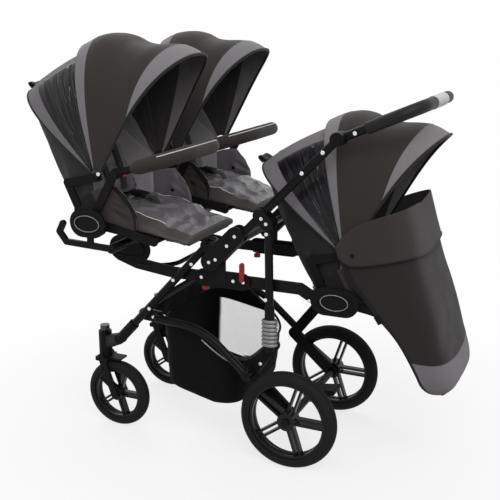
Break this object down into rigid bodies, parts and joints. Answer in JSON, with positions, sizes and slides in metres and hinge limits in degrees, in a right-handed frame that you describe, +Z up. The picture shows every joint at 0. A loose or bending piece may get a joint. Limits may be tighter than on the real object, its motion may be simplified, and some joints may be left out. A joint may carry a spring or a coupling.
{
  "type": "triple stroller",
  "caption": "Folding stroller with two seats side by side over the front wheels and a lower rear seat with a foot muff; seats recline and carry hoods, all facing the handle.",
  "frame": {"origin": "on the floor under the middle of the length and width", "axes": "+X from the front wheels towards the handle, +Y from the left side to the right side of a walker who faces the front, +Z up"},
  "size_m": [1.2891, 0.867, 1.2548],
  "materials": {
    "frame_black": "satin near-black powder coat",
    "plastic_black": "fine-grained black moulding",
    "wheel_black": "smooth black moulding",
    "tyre_rubber": "ribbed dark rubber",
    "bright_metal": "polished",
    "damper_rubber": "silver-grey ribbed elastomer",
    "red_plastic": "red moulding",
    "grip_leather": "grained black grip cover",
    "basket_cloth": "woven black cloth with a mesh panel",
    "charcoal_cloth": "woven charcoal cloth",
    "grey_cloth": "woven mid-grey cloth with a glossy window",
    "pad_satin": "grey satin quilting"
  },
  "bodies": {
    "frame": {"push_tubes": "frame_black", "hinge_plates": "frame_black", "seat_rails": "frame_black", "rail_covers": "plastic_black", "seat_cups": "plastic_black", "seat_carrier": "frame_black", "seat_hubs": "plastic_black", "frame_rivets": "bright_metal", "rail_knobs": "red_plastic", "front_left_seat_frame": "plastic_black", "front_right_seat_frame": "plastic_black", "rear_seat_frame": "plastic_black", "front_left_seat_pad": "pad_satin", "front_right_seat_pad": "pad_satin", "rear_seat_pad": "pad_satin"},
    "front_legs": {"front_legs": "frame_black", "steering_heads": "plastic_black"},
    "rear_legs": {"rear_legs": "frame_black", "lower_arches": "frame_black", "basket": "basket_cloth", "dampers": "damper_rubber"},
    "rear_axle": {"swing_arms": "plastic_black", "rear_axle": "frame_black"},
    "brake": {"brake_pedal": "plastic_black"},
    "handle": {"handle_bar": "frame_black", "handle_grip": "grip_leather"},
    "left_rear_wheel": {"left_rear_wheel": "wheel_black", "left_rear_tyre": "tyre_rubber"},
    "left_fork": {"left_fork": "plastic_black"},
    "left_front_wheel": {"left_front_wheel": "wheel_black", "left_front_tyre": "tyre_rubber"},
    "left_swivel_button": {"left_swivel_button": "bright_metal"},
    "left_handle_button": {"left_handle_button": "plastic_black"},
    "left_lock_lever": {"left_lock_lever": "red_plastic"},
    "right_rear_wheel": {"right_rear_wheel": "wheel_black", "right_rear_tyre": "tyre_rubber"},
    "right_fork": {"right_fork": "plastic_black"},
    "right_front_wheel": {"right_front_wheel": "wheel_black", "right_front_tyre": "tyre_rubber"},
    "right_swivel_button": {"right_swivel_button": "bright_metal"},
    "right_handle_button": {"right_handle_button": "plastic_black"},
    "right_lock_lever": {"right_lock_lever": "red_plastic"},
    "front_left_back": {"front_left_back_frame": "plastic_black", "front_left_back_pad": "pad_satin", "front_left_canopy_rear": "grey_cloth"},
    "front_left_canopy": {"front_left_canopy_front": "charcoal_cloth"},
    "front_left_leg": {"front_left_leg_rest": "charcoal_cloth"},
    "front_left_bumper": {"front_left_bumper": "charcoal_cloth"},
    "front_right_back": {"front_right_back_frame": "plastic_black", "front_right_back_pad": "pad_satin", "front_right_canopy_rear": "grey_cloth"},
    "front_right_canopy": {"front_right_canopy_front": "charcoal_cloth"},
    "front_right_leg": {"front_right_leg_rest": "charcoal_cloth"},
    "front_right_bumper": {"front_right_bumper": "charcoal_cloth"},
    "rear_back": {"rear_back_frame": "plastic_black", "rear_back_pad": "pad_satin", "rear_canopy_rear": "grey_cloth"},
    "rear_canopy": {"rear_canopy_front": "charcoal_cloth"},
    "rear_leg": {"rear_leg_rest": "charcoal_cloth", "foot_muff": "charcoal_cloth"}
  },
  "joints": [
    {"name": "chassis_fold", "type": "hinge", "parent": "frame", "child": "front_legs", "pos_m": [-0.0377, 0, 0.618], "axis": [0, 1, 0], "range_deg": [0, 18]},
    {"name": "rear_leg_fold", "type": "hinge", "parent": "frame", "child": "rear_legs", "pos_m": [0.1193, 0, 0.738], "axis": [0, 1, 0], "range_deg": [0, 11.4]},
    {"name": "rear_suspension", "type": "hinge", "parent": "rear_legs", "child": "rear_axle", "pos_m": [0.0513, 0, 0.268], "axis": [0, -1, 0], "range_deg": [0, 4], "stiffness_Nm_per_rad": 350, "springref_deg": -4.3, "deforming": ["dampers"]},
    {"name": "brake_pedal_turn", "type": "hinge", "parent": "rear_axle", "child": "brake", "pos_m": [0.1843, 0, 0.15], "axis": [0, 1, 0], "range_deg": [0, 18]},
    {"name": "handle_tilt", "type": "hinge", "parent": "frame", "child": "handle", "pos_m": [0.3143, 0, 0.981], "axis": [0, -1, 0], "range_deg": [-15, 50]},
    {"name": "left_rear_wheel_spin", "type": "hinge", "parent": "rear_axle", "child": "left_rear_wheel", "pos_m": [0.1843, -0.212, 0.15], "axis": [0, 1, 0], "continuous": true},
    {"name": "left_fork_swivel", "type": "hinge", "parent": "front_legs", "child": "left_fork", "pos_m": [-0.4667, -0.172, 0.21], "axis": [0, 0, 1], "continuous": true},
    {"name": "left_front_wheel_spin", "type": "hinge", "parent": "left_fork", "child": "left_front_wheel", "pos_m": [-0.4217, -0.172, 0.11], "axis": [0, 1, 0], "continuous": true},
    {"name": "left_swivel_button_press", "type": "slide", "parent": "front_legs", "child": "left_swivel_button", "axis": [0, 0, -1], "range_m": [0, 0.004], "stiffness_N_per_m": 900, "springref_m": -0.002},
    {"name": "left_handle_button_press", "type": "slide", "parent": "frame", "child": "left_handle_button", "axis": [0, 1, 0], "range_m": [0, 0.004], "stiffness_N_per_m": 900, "springref_m": -0.002},
    {"name": "left_lock_lever_turn", "type": "hinge", "parent": "frame", "child": "left_lock_lever", "pos_m": [0.0343, -0.206, 0.5585], "axis": [0, 1, 0], "range_deg": [-12, 12]},
    {"name": "right_rear_wheel_spin", "type": "hinge", "parent": "rear_axle", "child": "right_rear_wheel", "pos_m": [0.1843, 0.212, 0.15], "axis": [0, 1, 0], "continuous": true},
    {"name": "right_fork_swivel", "type": "hinge", "parent": "front_legs", "child": "right_fork", "pos_m": [-0.4667, 0.172, 0.21], "axis": [0, 0, 1], "continuous": true},
    {"name": "right_front_wheel_spin", "type": "hinge", "parent": "right_fork", "child": "right_front_wheel", "pos_m": [-0.4217, 0.172, 0.11], "axis": [0, 1, 0], "continuous": true},
    {"name": "right_swivel_button_press", "type": "slide", "parent": "front_legs", "child": "right_swivel_button", "axis": [0, 0, -1], "range_m": [0, 0.004], "stiffness_N_per_m": 900, "springref_m": -0.002},
    {"name": "right_handle_button_press", "type": "slide", "parent": "frame", "child": "right_handle_button", "axis": [0, -1, 0], "range_m": [0, 0.004], "stiffness_N_per_m": 900, "springref_m": -0.002},
    {"name": "right_lock_lever_turn", "type": "hinge", "parent": "frame", "child": "right_lock_lever", "pos_m": [0.0343, 0.206, 0.5585], "axis": [0, 1, 0], "range_deg": [-12, 12]},
    {"name": "front_left_recline", "type": "hinge", "parent": "frame", "child": "front_left_back", "pos_m": [-0.3357, -0.2255, 0.738], "axis": [0, -1, 0], "range_deg": [0, 40]},
    {"name": "front_left_canopy_fold", "type": "hinge", "parent": "front_left_back", "child": "front_left_canopy", "pos_m": [-0.3207, -0.2255, 0.862], "axis": [0, -1, 0], "range_deg": [0, 32]},
    {"name": "front_left_leg_rest_lift", "type": "hinge", "parent": "frame", "child": "front_left_leg", "pos_m": [-0.14165, -0.2255, 0.69814], "axis": [0, -1, 0], "range_deg": [0, 25]},
    {"name": "front_left_bumper_lift", "type": "hinge", "parent": "frame", "child": "front_left_bumper", "pos_m": [-0.2547, -0.2255, 0.88], "axis": [0, -1, 0], "range_deg": [0, 50]},
    {"name": "front_right_recline", "type": "hinge", "parent": "frame", "child": "front_right_back", "pos_m": [-0.3357, 0.2255, 0.738], "axis": [0, -1, 0], "range_deg": [0, 40]},
    {"name": "front_right_canopy_fold", "type": "hinge", "parent": "front_right_back", "child": "front_right_canopy", "pos_m": [-0.3207, 0.2255, 0.862], "axis": [0, -1, 0], "range_deg": [0, 32]},
    {"name": "front_right_leg_rest_lift", "type": "hinge", "parent": "frame", "child": "front_right_leg", "pos_m": [-0.14165, 0.2255, 0.69814], "axis": [0, -1, 0], "range_deg": [0, 25]},
    {"name": "front_right_bumper_lift", "type": "hinge", "parent": "frame", "child": "front_right_bumper", "pos_m": [-0.2547, 0.2255, 0.88], "axis": [0, -1, 0], "range_deg": [0, 50]},
    {"name": "rear_recline", "type": "hinge", "parent": "frame", "child": "rear_back", "pos_m": [0.3133, 0, 0.526], "axis": [0, -1, 0], "range_deg": [0, 10]},
    {"name": "rear_canopy_fold", "type": "hinge", "parent": "rear_back", "child": "rear_canopy", "pos_m": [0.3283, 0, 0.65], "axis": [0, -1, 0], "range_deg": [0, 32]},
    {"name": "rear_leg_rest_lift", "type": "hinge", "parent": "frame", "child": "rear_leg", "pos_m": [0.50735, 0, 0.48614], "axis": [0, -1, 0], "range_deg": [0, 12]}
  ],
  "couplings": [
    {"joint": "rear_leg_fold", "follows": "chassis_fold", "ratio": 0.6304}
  ]
}
